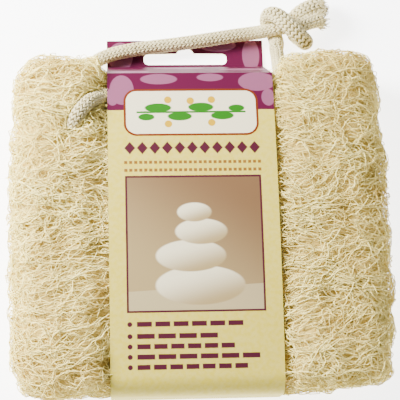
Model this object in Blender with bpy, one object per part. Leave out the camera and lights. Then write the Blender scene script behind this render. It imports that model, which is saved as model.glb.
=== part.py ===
"""Natural loofah sponge pad in a card sleeve, with a knotted cotton hanging loop.

Metres, +Z up. The pad lies on its back: +Z is the front face's normal, +Y runs up the pad towards
the hang tab, and the origin is the middle of the sleeve's back panel, on the surface it rests on.
"""

import math
import random

import bmesh
import bpy
from mathutils import Vector
from mathutils.geometry import delaunay_2d_cdt

MM = 0.001

# Loofah pad: a length of gourd pressed flat, so its section is a stadium and its ends are cut blunt
PAD_CENTRE_X = 2.9 * MM
PAD_HALF_WIDTH = 65.6 * MM
PAD_HALF_LENGTH = 58.4 * MM
PAD_HALF_THICKNESS = 13.6 * MM
PAD_MIDDLE_Z = 14.4 * MM
PAD_END_ROUND = 6.0 * MM
PAD_SQUEEZE = 0.90
PAD_SEED = 11

# Fibre net raised over the pad, larger than life
CELL_ALONG = 9.6 * MM
CELL_ACROSS = 6.3 * MM
CELL_JITTER = 0.42
CELL_DEPTH = 2.2 * MM
CREST_SCATTER = 0.55 * MM
RIM_SHARE = 0.40
SLIT_HALF = 3.2 * MM
EDGE_TUFT = 2.0 * MM
TUFTS_FROM = 0.86
TUFT_TURN = 0.85
BARREL = 0.035
WING_RAMP = 8.4 * MM
WING_SWELL = 0.7 * MM
END_WAVE = 1.1 * MM
SPARSE_UNDER_SLEEVE = 0.5
ROOM_IN_CARD = 0.7 * MM

# Card sleeve
SLEEVE_HALF_WIDTH = 29.0 * MM
CARD = 0.6 * MM
FRONT_PEAK_Z = 27.4 * MM
FRONT_BOW = 3.2 * MM
TOP_FOLD_Y = 52.0 * MM
BOTTOM_Y = -60.0 * MM
BOTTOM_ROUND = 7.0 * MM
FOLD_STEPS = 6
PANEL_STEPS = 12
JOINT_Y = 62.9 * MM
TAB_TOP_Y = 73.2 * MM
SLOT_HALF_WIDTH = 15.4 * MM
SLOT_LOW_Y = 63.7 * MM
SLOT_HIGH_Y = 68.0 * MM
SLOT_ROUND = 1.7 * MM
SLOT_HUMP = 3.4 * MM

# Cotton cord
CORD_RADIUS = 2.5 * MM
GAP = 0.35 * MM
CORD_ROOM = 0.55 * MM
HOLE_FOOT_Z = 5.0 * MM
GROOVE_END_Y = 63.0 * MM
ROUND_ABOUT = 8.0 * MM
CORD_BEVEL = 2
ROUTE_STEP = 3.6 * MM
KNOT_STEP = 2.4 * MM
# The hole through the pad, up over its front, under the card and out to the knot
FRONT_ROUTE = [
    (-40.1, 30.2, 15.0), (-40.3, 30.7, 20.6), (-40.6, 32.3, 25.4), (-39.0, 35.8, 28.1),
    (-35.8, 40.0, 27.6), (-32.6, 43.0, 24.2), (-28.8, 45.0, 21.2), (-22.0, 46.4, 20.2),
    (-8.0, 47.4, 20.0), (10.0, 47.8, 19.8), (22.0, 48.6, 19.2), (29.6, 50.4, 18.0),
    (32.8, 54.6, 15.6), (33.2, 59.6, 11.6), (33.4, 63.6, 8.8),
]
# The same hole at the back, along under the pad, past its end and over the hang tab to the knot
BACK_ROUTE = [
    (-40.1, 30.2, 14.2), (-40.1, 30.8, 8.4), (-40.2, 34.2, 3.8), (-39.8, 42.0, 2.9),
    (-39.2, 52.0, 2.9), (-37.2, 59.4, 3.2), (-33.2, 63.8, 3.7), (-27.8, 66.4, 3.9),
    (-20.6, 68.2, 3.8), (-13.0, 69.4, 3.8), (-2.0, 70.8, 3.8), (9.2, 72.5, 3.8),
    (20.4, 74.2, 3.9),
]
# Through the knot: the front strand makes a round turn about the back one, and both end as tails
KNOT_WRAP = [
    (33.4, 67.3, 6.4), (34.0, 71.0, 3.6), (33.0, 75.0, 2.8), (30.8, 78.4, 4.6), (31.0, 79.9, 8.6),
    (33.6, 78.2, 12.0), (37.2, 74.4, 13.0), (41.0, 71.0, 11.6), (43.8, 69.6, 8.2), (43.6, 71.8, 4.2),
    (41.0, 75.2, 2.8), (40.6, 79.2, 3.6), (43.4, 81.9, 5.4), (47.2, 83.6, 6.4), (51.0, 84.8, 6.4),
]
KNOT_CORE = [
    (26.6, 74.8, 4.5), (31.0, 75.0, 6.4), (34.6, 75.2, 8.0), (38.6, 75.6, 8.0), (42.6, 76.4, 7.6),
    (46.2, 78.2, 6.6), (50.6, 80.0, 5.8),
]

CREAM_FIBRE = (0.66, 0.56, 0.32, 1.0)
PURPLE_CARD = (0.27, 0.05, 0.132, 1.0)
COTTON = (0.62, 0.54, 0.38, 1.0)


def clear_scene():
    for old in list(bpy.data.objects):
        bpy.data.objects.remove(old, do_unlink=True)


def material(name, colour, roughness):
    made = bpy.data.materials.new(name)
    made.use_nodes = True
    shader = made.node_tree.nodes["Principled BSDF"]
    shader.inputs["Base Color"].default_value = colour
    shader.inputs["Roughness"].default_value = roughness
    shader.inputs["Metallic"].default_value = 0.0
    return made


def add_object(name, data, finish=None):
    made = bpy.data.objects.new(name, data)
    bpy.context.scene.collection.objects.link(made)
    if finish:
        made.data.materials.append(finish)
    return made


def helper(name, data):
    """A cutter or a guide, left out of the model."""
    made = add_object(name, data)
    made.hide_render = True
    made.display_type = "WIRE"
    return made


def smooth(low, high, value):
    t = min(1.0, max(0.0, (value - low) / (high - low)))
    return t * t * (3.0 - 2.0 * t)


def front_z(y):
    """Outer height of the sleeve's bowed front panel."""
    return FRONT_PEAK_Z - FRONT_BOW * (y / TOP_FOLD_Y) ** 2


def flap_y(z):
    """Outer face of the top flap, which slopes from the front fold out to the hang tab."""
    share = (front_z(TOP_FOLD_Y) - z) / (front_z(TOP_FOLD_Y) - CARD)
    return TOP_FOLD_Y + (JOINT_Y - TOP_FOLD_Y) * share


def inside_fold(y, z):
    """Keeps a point of the pad inside the rounded bottom fold."""
    over_y = y - (BOTTOM_Y + BOTTOM_ROUND)
    top = front_z(BOTTOM_Y + BOTTOM_ROUND) - BOTTOM_ROUND
    over_z = min(0.0, z - BOTTOM_ROUND) + max(0.0, z - top)
    far = math.hypot(over_y, over_z)
    allowed = BOTTOM_ROUND - CARD - ROOM_IN_CARD
    if over_y < 0.0 and far > allowed:
        y += over_y * (allowed / far - 1.0)
        z += over_z * (allowed / far - 1.0)
    return y, z


# Pad surface

SECTION_STRAIGHT = PAD_HALF_WIDTH - PAD_HALF_THICKNESS
SECTION_ARC = math.pi * PAD_HALF_THICKNESS
ROUND_LENGTH = 4 * SECTION_STRAIGHT + 2 * SECTION_ARC
END_FLAT = PAD_HALF_THICKNESS - PAD_END_ROUND - SLIT_HALF
END_ARC = PAD_END_ROUND * math.pi / 2
SIDE_HALF = PAD_HALF_LENGTH - PAD_END_ROUND
HALF_RUN = SIDE_HALF + END_ARC + END_FLAT


def section(u):
    """The stadium round the pad: the middle line's x, and the way out of it in x and z."""
    u %= ROUND_LENGTH
    if u < 2 * SECTION_STRAIGHT:
        return SECTION_STRAIGHT - u, 0.0, 1.0
    u -= 2 * SECTION_STRAIGHT
    if u < SECTION_ARC:
        turn = u / PAD_HALF_THICKNESS
        return -SECTION_STRAIGHT, -math.sin(turn), math.cos(turn)
    u -= SECTION_ARC
    if u < 2 * SECTION_STRAIGHT:
        return u - SECTION_STRAIGHT, 0.0, -1.0
    turn = (u - 2 * SECTION_STRAIGHT) / PAD_HALF_THICKNESS
    return SECTION_STRAIGHT, math.sin(turn), -math.cos(turn)


def run(s):
    """Along the pad and over its cut ends: distance from the middle line, and y."""
    far = abs(s)
    if far < SIDE_HALF:
        return PAD_HALF_THICKNESS, s
    if far < SIDE_HALF + END_ARC:
        turn = (far - SIDE_HALF) / PAD_END_ROUND
        out = PAD_HALF_THICKNESS - PAD_END_ROUND + PAD_END_ROUND * math.cos(turn)
        return out, math.copysign(SIDE_HALF + PAD_END_ROUND * math.sin(turn), s)
    inward = far - SIDE_HALF - END_ARC
    return PAD_HALF_THICKNESS - PAD_END_ROUND - inward, math.copysign(PAD_HALF_LENGTH, s)


def shaped(x, y, z):
    """The pressed and handled pad: barrel sides, uneven ends, squeezed flat inside the sleeve."""
    x *= 1.0 - BARREL * abs(y / PAD_HALF_LENGTH) ** 3
    x += PAD_CENTRE_X
    edge = SLEEVE_HALF_WIDTH + GAP
    wing = smooth(edge, edge + WING_RAMP, abs(x))
    z *= PAD_SQUEEZE + (1.0 - PAD_SQUEEZE) * wing
    z += PAD_MIDDLE_Z - (1.0 - wing) * WING_SWELL
    swell = WING_SWELL * math.sin(75 * x + 1.0) * math.cos(68 * y + 0.4)
    z += swell * wing * smooth(8 * MM, 20 * MM, z)
    wave = math.sin(46 * x - 0.9) + 0.45 * math.sin(140 * x)
    y += END_WAVE * wave * smooth(0.7, 1.0, abs(y) / PAD_HALF_LENGTH) * wing
    if abs(x) < edge + 2 * MM:
        y = min(y, flap_y(z) - CARD - 2 * ROOM_IN_CARD)
        z = min(z, front_z(y) - CARD - ROOM_IN_CARD)
        y, z = inside_fold(y, z)
    return Vector((x, y, z))


def pad_point(u, s):
    middle, out_x, out_z = section(u)
    out, y = run(s)
    return shaped(middle + out * out_x, y, out * out_z)


def net_points(draw):
    """Cell middles over the unrolled pad: jittered rows, with an even row at each end."""
    per_row = 2 * round(ROUND_LENGTH / CELL_ALONG / 2)
    rows = 2 * round(HALF_RUN / CELL_ACROSS)
    points = []
    for row in range(rows + 1):
        s = -HALF_RUN + 2 * HALF_RUN * row / rows
        end = row in (0, rows)
        for i in range(per_row):
            if end:
                points.append((ROUND_LENGTH * (i + 0.5) / per_row, s))
                continue
            across = draw.uniform(-CELL_JITTER, CELL_JITTER) * 2 * HALF_RUN / rows
            along = draw.uniform(-CELL_JITTER, CELL_JITTER) + 0.5 * (row % 2)
            skip = draw.random() < SPARSE_UNDER_SLEEVE
            u = (ROUND_LENGTH * (i + along) / per_row) % ROUND_LENGTH
            hidden = abs(pad_point(u, s).x) < SLEEVE_HALF_WIDTH - CELL_ALONG
            if not (skip and hidden and abs(s) < SIDE_HALF):
                points.append((u, s + across))
    return points, per_row


def net_triangles(points, per_row):
    """Closed triangulation of the unrolled pad, joined round its sides and along both end slits."""
    margin = 4 * CELL_ALONG
    flat, index = [], []
    for i, (u, s) in enumerate(points):
        for shift in (-ROUND_LENGTH, 0.0, ROUND_LENGTH):
            if -margin < u + shift < ROUND_LENGTH + margin:
                flat.append(Vector((u + shift, s)))
                index.append(i)
    faces = delaunay_2d_cdt(flat, [], [], 0, 1e-9)[2]
    found = set()
    for face in faces:
        middle = sum((flat[i].x for i in face), 0.0) / 3
        if 0.0 <= middle < ROUND_LENGTH:
            corners = [index[i] for i in face]
            turn = corners.index(min(corners))
            found.add(tuple(corners[turn:] + corners[:turn]))
    for first, way in ((0, 1), (len(points) - per_row, -1)):
        found |= slit_triangles(points, first, per_row, way)
    return sorted(found)


def slit_triangles(points, first, per_row, way):
    """Closes one cut end: each vertex of its last row is joined to the one facing it."""
    turn_at = 2 * SECTION_STRAIGHT + SECTION_ARC / 2
    ring = sorted(range(first, first + per_row), key=lambda i: (points[i][0] - turn_at) % ROUND_LENGTH)
    faces = set()
    half = per_row // 2
    for i in range(half):
        a, b = ring[i], ring[(i + 1) % per_row]
        c, d = ring[per_row - 1 - i], ring[per_row - 2 - i]
        for face in ((a, b, d), (a, d, c)):
            if len(set(face)) == 3:
                faces.add(face if way > 0 else face[::-1])
    return faces


def net_mesh():
    """One cell round each point, its rim a raised fibre and its middle sunk between the fibres."""
    draw = random.Random(PAD_SEED)
    points, per_row = net_points(draw)
    base = bmesh.new()
    verts = [base.verts.new(pad_point(u, s)) for u, s in points]
    for face in net_triangles(points, per_row):
        base.faces.new([verts[i] for i in face])
    bmesh.ops.recalc_face_normals(base, faces=base.faces)
    base.verts.ensure_lookup_table()
    base.faces.ensure_lookup_table()
    base.normal_update()
    net = bmesh.new()
    crest = []
    for face in base.faces:
        high = draw.uniform(-1.0, 0.6) * CREST_SCATTER
        middle = face.calc_center_median()
        beside = abs(middle.x - PAD_CENTRE_X) > TUFTS_FROM * PAD_HALF_WIDTH
        beyond = abs(middle.y) > TUFTS_FROM * PAD_HALF_LENGTH
        uncovered = abs(middle.x) > SLEEVE_HALF_WIDTH + CELL_DEPTH
        if uncovered and (beside or beyond) and abs(face.normal.z) < TUFT_TURN:
            high += draw.uniform(0.0, 1.0) ** 2 * EDGE_TUFT
        crest.append(net.verts.new(middle + face.normal * high))
    for vert in base.verts:
        ring = ordered_faces(vert)
        rim = [crest[i] for i in ring]
        centre = sum((v.co for v in rim), Vector()) / len(rim)
        depth = CELL_DEPTH * draw.uniform(0.7, 1.2)
        sunk = [net.verts.new(v.co.lerp(centre, RIM_SHARE) - vert.normal * depth) for v in rim]
        count = len(rim)
        for i in range(count):
            j = (i + 1) % count
            net.faces.new((rim[i], rim[j], sunk[j], sunk[i]))
        net.faces.new(sunk)
    bmesh.ops.triangulate(net, faces=net.faces)
    bmesh.ops.recalc_face_normals(net, faces=net.faces)
    mesh = bpy.data.meshes.new("loofah_pad")
    net.to_mesh(mesh)
    base.free()
    net.free()
    return mesh


def ordered_faces(vert):
    """Indices of the faces round a vertex, in order."""
    loop = vert.link_loops[0]
    ring = []
    for _ in vert.link_loops:
        ring.append(loop.face.index)
        loop = loop.link_loop_prev.link_loop_radial_next
    return ring


# Cord routes

def smooth_route(points, step):
    """Points read every step from a smooth curve through the route's own points."""
    ends = [points[0] * 2 - points[1]] + points + [points[-1] * 2 - points[-2]]
    fine = []
    for a, b, c, d in zip(ends, ends[1:], ends[2:], ends[3:]):
        for i in range(12):
            t = i / 12
            fine.append(0.5 * (2 * b + (c - a) * t + (2 * a - 5 * b + 4 * c - d) * t * t
                               + (3 * b - a - 3 * c + d) * t * t * t))
    fine.append(points[-1])
    length = sum((q - p).length for p, q in zip(fine, fine[1:]))
    count = max(2, round(length / step))
    spaced, walked, wanted = [fine[0]], 0.0, length / count
    for p, q in zip(fine, fine[1:]):
        gap = (q - p).length
        while walked + gap >= wanted and len(spaced) < count:
            spaced.append(p.lerp(q, (wanted - walked) / gap))
            wanted += length / count
        walked += gap
    return spaced + [fine[-1]]


def tube_curve(name, points, radius, sides):
    curve = bpy.data.curves.new(name, "CURVE")
    curve.dimensions = "3D"
    curve.bevel_depth = radius
    curve.bevel_resolution = sides // 2
    curve.use_fill_caps = True
    spline = curve.splines.new("POLY")
    spline.points.add(len(points) - 1)
    for spot, point in zip(spline.points, points):
        spot.co = (*point, 1.0)
    return curve


def closed_mesh(name, data):
    """The evaluated mesh of a curve, with its caps joined on."""
    source = bpy.data.objects.new(name, data)
    mesh = bpy.data.meshes.new_from_object(source)
    bpy.data.objects.remove(source)
    made = bmesh.new()
    made.from_mesh(mesh)
    bmesh.ops.remove_doubles(made, verts=made.verts, dist=1e-6)
    bmesh.ops.recalc_face_normals(made, faces=made.faces)
    made.to_mesh(mesh)
    made.free()
    mesh.name = name
    return mesh


def groove_mesh(name, points, half_width, reach):
    """A slot of that width from the route out through the pad's face, to seat the cord."""
    made = bmesh.new()
    stations = []
    for i, point in enumerate(points):
        ahead = points[min(i + 1, len(points) - 1)] - points[max(i - 1, 0)]
        side = Vector((-ahead.y, ahead.x, 0.0)).normalized() * half_width
        outer = Vector((point.x, point.y, point.z + reach))
        corners = (point - side, point + side, outer + side, outer - side)
        stations.append([made.verts.new(corner) for corner in corners])
    for a, b in zip(stations, stations[1:]):
        for i in range(4):
            j = (i + 1) % 4
            made.faces.new((a[i], a[j], b[j], b[i]))
    made.faces.new(stations[0])
    made.faces.new(stations[-1])
    bmesh.ops.recalc_face_normals(made, faces=made.faces)
    mesh = bpy.data.meshes.new(name)
    made.to_mesh(mesh)
    made.free()
    return mesh


def boolean(obj, other, operation, solver="EXACT"):
    step = obj.modifiers.new(other.name, "BOOLEAN")
    step.object = other
    step.operation = operation
    step.solver = solver


def settle(obj):
    """Applies an object's modifiers and keeps its one main body, without cut-off scraps."""
    graph = bpy.context.evaluated_depsgraph_get()
    mesh = bpy.data.meshes.new_from_object(obj.evaluated_get(graph))
    obj.modifiers.clear()
    made = bmesh.new()
    made.from_mesh(mesh)
    bmesh.ops.remove_doubles(made, verts=made.verts, dist=2e-6)
    bmesh.ops.dissolve_degenerate(made, edges=made.edges, dist=2e-6)
    left, bodies = set(made.verts), []
    while left:
        todo = [left.pop()]
        body = set(todo)
        while todo:
            for edge in todo.pop().link_edges:
                for near in edge.verts:
                    if near in left:
                        left.remove(near)
                        body.add(near)
                        todo.append(near)
        bodies.append(body)
    main = max(bodies, key=len)
    bmesh.ops.delete(made, geom=[v for v in made.verts if v not in main], context="VERTS")
    bmesh.ops.triangulate(made, faces=made.faces)
    made.to_mesh(mesh)
    made.free()
    name = obj.data.name
    obj.data = mesh
    mesh.name = name


def metres(points):
    return [Vector(p) * MM for p in points]


# Pieces

def build_pad():
    pad = add_object("loofah_pad", net_mesh(), material("loofah_fibre", CREAM_FIBRE, 0.85))
    room = CORD_RADIUS + CORD_ROOM
    (front, _), (back, _) = strands()
    behind = [p for p in back if p.y < GROOVE_END_Y]
    through = behind[::-1] + [p for p in front[1:] if p.y < GROOVE_END_Y]
    top = max(range(len(through)), key=lambda i: through[i].z)
    under = [p for p in behind if p.z < HOLE_FOOT_Z]
    ring = [band_profile(-ROUND_ABOUT), band_profile(CARD + GAP)]
    cutters = (
        helper("cord_tunnel", closed_mesh("cord_tunnel", tube_curve("tunnel", through, room, CORD_BEVEL))),
        helper("front_groove", groove_mesh("front_groove", through[top:], room, ROUND_ABOUT)),
        helper("back_groove", groove_mesh("back_groove", under, room, -ROUND_ABOUT)),
        helper("card_room", stood_up(outline_solid("card_room", ring, SLEEVE_HALF_WIDTH + GAP))),
    )
    for cutter in cutters:
        boolean(pad, cutter, "DIFFERENCE", "MANIFOLD")
    settle(pad)


def band_profile(inset):
    """The closed band seen from the side, as (y, z), moved inwards from its outer face."""
    lean = math.hypot(1.0, (JOINT_Y - TOP_FOLD_Y) / (front_z(TOP_FOLD_Y) - CARD))
    start = BOTTOM_Y + BOTTOM_ROUND
    radius = BOTTOM_ROUND - inset
    points = [(flap_y(inset) - inset * lean, inset)]
    for centre_z, first in ((BOTTOM_ROUND, -0.5), (front_z(start) - BOTTOM_ROUND, -1.0)):
        for i in range(FOLD_STEPS + 1):
            turn = math.pi * (first - 0.5 * i / FOLD_STEPS)
            points.append((start + radius * math.cos(turn), centre_z + radius * math.sin(turn)))
    fold_y = TOP_FOLD_Y - inset * (lean - (JOINT_Y - TOP_FOLD_Y) / front_z(TOP_FOLD_Y))
    for i in range(1, PANEL_STEPS + 1):
        y = start + (fold_y - start) * i / PANEL_STEPS
        points.append((y, front_z(y) - inset))
    return points


def outline_solid(name, loops, half_depth):
    """A flat outline, with holes if it has more than one loop, extruded both ways."""
    curve = bpy.data.curves.new(name, "CURVE")
    curve.dimensions = "2D"
    curve.fill_mode = "BOTH"
    curve.extrude = half_depth
    for loop in loops:
        spline = curve.splines.new("POLY")
        spline.points.add(len(loop) - 1)
        for spot, (a, b) in zip(spline.points, loop):
            spot.co = (a, b, 0.0, 1.0)
        spline.use_cyclic_u = True
    return closed_mesh(name, curve)


def stood_up(mesh):
    """Turns a side profile so that its extrusion runs along X."""
    for vert in mesh.vertices:
        vert.co = Vector((vert.co.z, vert.co.x, vert.co.y))
    return mesh


def slot_loop():
    """Hang slot with round ends and a low hump over its middle."""
    loop = []
    corners = ((-1, SLOT_LOW_Y, 1, math.pi), (1, SLOT_LOW_Y, 1, 1.5 * math.pi),
               (1, SLOT_HIGH_Y, -1, 0.0), (-1, SLOT_HIGH_Y, -1, 0.5 * math.pi))
    for index, (side, y, inward, start) in enumerate(corners):
        for i in range(5):
            turn = start + math.pi / 2 * i / 4
            loop.append((side * (SLOT_HALF_WIDTH - SLOT_ROUND) + SLOT_ROUND * math.cos(turn),
                         y + inward * SLOT_ROUND + SLOT_ROUND * math.sin(turn)))
        if index == 2:
            for i in range(7):
                turn = math.radians(20) + math.radians(140) * i / 6
                rise = SLOT_HUMP * math.sin(turn) - 1.0 * MM
                loop.append((SLOT_HUMP * math.cos(turn), SLOT_HIGH_Y + rise))
    return loop


def build_sleeve():
    outer = [(TAB_TOP_Y, CARD), (TAB_TOP_Y, 0.0)] + band_profile(0.0)[1:] + [(JOINT_Y, CARD)]
    mesh = stood_up(outline_solid("card_sleeve", [outer, band_profile(CARD)], SLEEVE_HALF_WIDTH))
    sleeve = add_object("card_sleeve", mesh, material("printed_card", PURPLE_CARD, 0.45))
    cutter = helper("hang_slot", outline_solid("hang_slot", [slot_loop()], 4 * CARD))
    boolean(sleeve, cutter, "DIFFERENCE")
    settle(sleeve)
    return sleeve


def strands():
    """Each strand's points from the hole to the knot, and the rest of it through the knot."""
    halves = []
    for route, knot in ((FRONT_ROUTE, KNOT_WRAP), (BACK_ROUTE, KNOT_CORE)):
        seam = Vector(knot[0]) * MM
        full = smooth_route(metres(route + knot), ROUTE_STEP)
        split = min(range(len(full)), key=lambda i: (full[i] - seam).length)
        fine = smooth_route(metres(route + knot), KNOT_STEP)
        rest = fine[min(range(len(fine)), key=lambda i: (fine[i] - full[split]).length) + 2:]
        ahead = (full[split] - full[split - 1]).normalized()
        start = [full[split] + ahead * GAP, full[split] + ahead * CORD_RADIUS / 2]
        halves.append((full[:split + 1], start + rest))
    return halves


def build_cords():
    finish = material("cotton_cord", COTTON, 0.9)
    (front, wrap), (back, core) = strands()
    for name, route in (("cord_front", front), ("cord_back", back)):
        add_object(name, tube_curve(name, route, CORD_RADIUS, CORD_BEVEL), finish)
    mesh = closed_mesh("cord_knot", tube_curve("wrap", wrap, CORD_RADIUS, CORD_BEVEL))
    knot = add_object("cord_knot", mesh, finish)
    mesh = closed_mesh("knot_core", tube_curve("core", core, CORD_RADIUS, CORD_BEVEL))
    boolean(knot, helper("knot_core", mesh), "UNION")
    settle(knot)


clear_scene()
build_pad()
build_sleeve()
build_cords()
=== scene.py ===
"""Natural loofah sponge pad in its card sleeve, with a knotted cotton cord: the looks, over the CAD frame."""

import functools
import math

import bmesh
import bpy
from mathutils import Matrix, Vector, noise


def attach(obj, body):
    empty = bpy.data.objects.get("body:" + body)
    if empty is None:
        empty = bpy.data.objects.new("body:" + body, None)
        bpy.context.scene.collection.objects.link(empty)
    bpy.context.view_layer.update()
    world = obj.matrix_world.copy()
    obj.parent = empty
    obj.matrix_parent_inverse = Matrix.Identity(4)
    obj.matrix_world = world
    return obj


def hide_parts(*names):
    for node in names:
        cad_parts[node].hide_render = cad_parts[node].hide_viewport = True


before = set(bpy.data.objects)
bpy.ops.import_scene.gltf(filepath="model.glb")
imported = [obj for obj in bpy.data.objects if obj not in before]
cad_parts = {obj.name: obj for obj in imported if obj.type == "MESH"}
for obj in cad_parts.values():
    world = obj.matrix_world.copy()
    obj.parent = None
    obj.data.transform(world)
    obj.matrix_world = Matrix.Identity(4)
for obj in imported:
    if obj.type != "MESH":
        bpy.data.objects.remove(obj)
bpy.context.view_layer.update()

MM = 0.001

# Camera: high over the pad, a little towards its lower end; its focal length in pixels of the photo
AIM = Vector((3.0, 8.5, 14.0)) * MM
CAMERA_AWAY = 450 * MM
CAMERA_TILT = math.radians(14.2)
CAMERA_YAW = math.radians(-4.1)
CAMERA_ROLL = math.radians(-1.7)
FOCAL_PIXELS = 1284
PHOTO_PIXELS = 400
SENSOR = 36.0

# Studio: each lamp's name, place, size and power, then the world and the floor
LAMPS = (("key", (-0.35, 0.20, 0.29), 0.2, 13.5), ("fill", (0.3, -0.4, 0.8), 0.8, 1.0))
WORLD_STRENGTH = 0.4
FLOOR_GLOW = 4.5
FLOOR_HALF = 3.0
FLOOR_Z = -0.2 * MM

# Pad: a stadium section round it, run along it and over its cut ends
PAD_CENTRE_X = 2.9 * MM
PAD_HALF_WIDTH = 65.6 * MM
PAD_HALF_LENGTH = 58.4 * MM
PAD_HALF_THICKNESS = 13.6 * MM
PAD_MIDDLE_Z = 14.4 * MM
PAD_END_ROUND = 6.0 * MM
PAD_SQUEEZE = 0.90
BARREL = 0.035
WING_RAMP = 8.4 * MM
WING_SWELL = 0.7 * MM
END_WAVE = 1.1 * MM
SLIT_HALF = 2.0 * MM
SECTION_STRAIGHT = PAD_HALF_WIDTH - PAD_HALF_THICKNESS
SECTION_ARC = math.pi * PAD_HALF_THICKNESS
ROUND_LENGTH = 4 * SECTION_STRAIGHT + 2 * SECTION_ARC
END_FLAT = PAD_HALF_THICKNESS - PAD_END_ROUND - SLIT_HALF
END_ARC = PAD_END_ROUND * math.pi / 2
SIDE_HALF = PAD_HALF_LENGTH - PAD_END_ROUND
HALF_RUN = SIDE_HALF + END_ARC + END_FLAT

# Pith, the pad's core under the fibres
CORE_DEPTH = 1.9 * MM
SKIN_STEP = 2.0 * MM
LUMP = 0.9 * MM
LUMP_PITCH = 7.0 * MM
FINE_LUMPS = 2.6
EDGE_LUMP = 1.7
LUMP_UNDER_CARD = 0.25

# Fibres: how far in under the card they start, what they wind round, and the lowest they lie
UNDER_CARD = 4 * MM
WIND_AXIS = (0.0, 1.0, 0.25)
LOWEST = 0.2 * MM

# Card sleeve
SLEEVE_HALF_WIDTH = 29.0 * MM
SLEEVE_ROOM = 0.35 * MM
CARD = 0.6 * MM
FRONT_PEAK_Z = 27.4 * MM
FRONT_BOW = 3.2 * MM
TOP_FOLD_Y = 52.0 * MM
BOTTOM_Y = -60.0 * MM
BOTTOM_ROUND = 7.0 * MM
FOLD_STEPS = 10
PANEL_STEPS = 24
CREASE = math.radians(35)
CROSS_CUTS = (-26, -20, -13, -6, 0, 6, 13, 20, 26)
JOINT_Y = 62.9 * MM
TAB_TOP_Y = 73.2 * MM
ROOM_IN_CARD = 0.7 * MM
SLOT_HALF_WIDTH = 15.4 * MM
SLOT_LOW_Y = 63.7 * MM
SLOT_HIGH_Y = 68.0 * MM
SLOT_ROUND = 1.7 * MM
SLOT_CORNER_STEPS = 6
SLOT_HUMP = 3.4 * MM
HUMP_SUNK = 1.0 * MM
HUMP_START = math.radians(20)
HUMP_SWEEP = math.radians(140)
HUMP_STEPS = 10

# Print, in millimetres on the front panel and on up over the flap and tab: centres, half sizes, corner
PRINT_UNIT = 100
PRINT_SOFT = 0.12
HEAD_LOW = 37.8
PEBBLES = (
    ((-24, 45.5), (4.2, 5.6)), ((-27.2, 43.0), (2.2, 3.4)), ((23.5, 48.5), (6.6, 3.6)),
    ((27.2, 42.4), (2.4, 3.2)), ((-11, 49.6), (6.4, 2.0)), ((7.0, 50.2), (4.6, 1.5)),
    ((-21, 57.0), (7.0, 3.2)), ((20, 66.0), (8.4, 4.2)), ((-3.0, 71.0), (9.4, 3.0)),
    ((24.5, 82.5), (3.2, 6.4)), ((-24, 82.0), (4.6, 5.6)), ((12, 86.5), (7.0, 2.6)),
)
PLAQUE = ((0.0, 37.0), (23.4, 8.8), 4.6)
PLAQUE_RIM = 0.8
LEAVES = (
    ((-11.5, 38.6), (4.6, 1.7)), ((-4.0, 35.4), (4.2, 1.6)), ((3.4, 38.8), (4.4, 1.7)),
    ((10.8, 35.6), (4.0, 1.5)), ((-15.6, 35.2), (2.8, 1.3)), ((15.8, 38.4), (2.8, 1.3)),
)
STEM = ((0.0, 37.0), (19.0, 0.35), 0.3)
BERRIES = tuple((centre, (1.3, 1.3)) for centre in
                ((-8.0, 41.6), (7.2, 41.6), (-0.2, 41.2), (7.0, 33.0), (-8.0, 32.6)))
LOZENGE_ROW_Y = 23.8
LOZENGE_PITCH = 4.3
LOZENGE_COUNT = 11
LOZENGE_HALF = (1.9, 2.3)
LOZENGE_ROW_HALF = 3.0
DOT_ROWS_Y = (18.6, 15.8)
DOT_PITCH = 1.7
DOT_COUNT = 28
DOT_HALF = 0.55
PICTURE = ((0.0, -9.7), (23.3, 23.5), 0.1)
PICTURE_RIM = 0.7
STONES = (
    ((1.5, -24.2), (15.0, 6.6)), ((-1.5, -14.2), (11.8, 5.4)), ((2.2, -5.9), (8.8, 4.4)),
    ((0.0, 0.8), (5.8, 3.3)),
)
DASH_ROWS = ((-37.0, 6, 6.1), (-41.0, 4, 7.0), (-44.4, 6, 5.6), (-47.8, 6, 7.0), (-51.2, 7, 5.4))
DASH_LEFT = -20.6
DASH_HALF_HEIGHT = 0.85
DASH_HALF_GAP = 0.55
BULLET_X = -22.4

# Cotton cord, with its routes as part.py has them
CORD_DIAMETER = 5.0 * MM
CORD_CLEAR = 3.1 * MM
SPAN_STEPS = 12
ROUTE_STEP = 0.8 * MM
WRAP_SWELL = 0.16
TAIL_FLARE = 0.35
STITCH_FILL = 0.55
STITCH_SUNK = 0.72
LEG_ASIDE = 0.24
WALES = 9
COURSE = 1.5 * MM
FRONT_ROUTE = [
    (-40.1, 30.2, 15.0), (-40.3, 30.7, 20.6), (-40.6, 32.3, 25.4), (-39.0, 35.8, 28.1),
    (-35.8, 40.0, 27.6), (-32.6, 43.0, 24.2), (-28.8, 45.0, 21.2), (-22.0, 46.4, 20.2),
    (-8.0, 47.4, 20.0), (10.0, 47.8, 19.8), (22.0, 48.6, 19.2), (29.6, 50.4, 18.0),
    (32.8, 54.6, 15.6), (33.2, 59.6, 11.6), (33.4, 63.6, 8.8),
]
BACK_ROUTE = [
    (-40.1, 30.2, 14.2), (-40.1, 30.8, 8.4), (-40.2, 34.2, 3.8), (-39.8, 42.0, 2.9),
    (-39.2, 52.0, 2.9), (-37.2, 59.4, 3.2), (-33.2, 63.8, 3.7), (-27.8, 66.4, 3.9),
    (-20.6, 68.2, 3.8), (-13.0, 69.4, 3.8), (-2.0, 70.8, 3.8), (9.2, 72.5, 3.8),
    (20.4, 74.2, 3.9),
]
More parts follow.
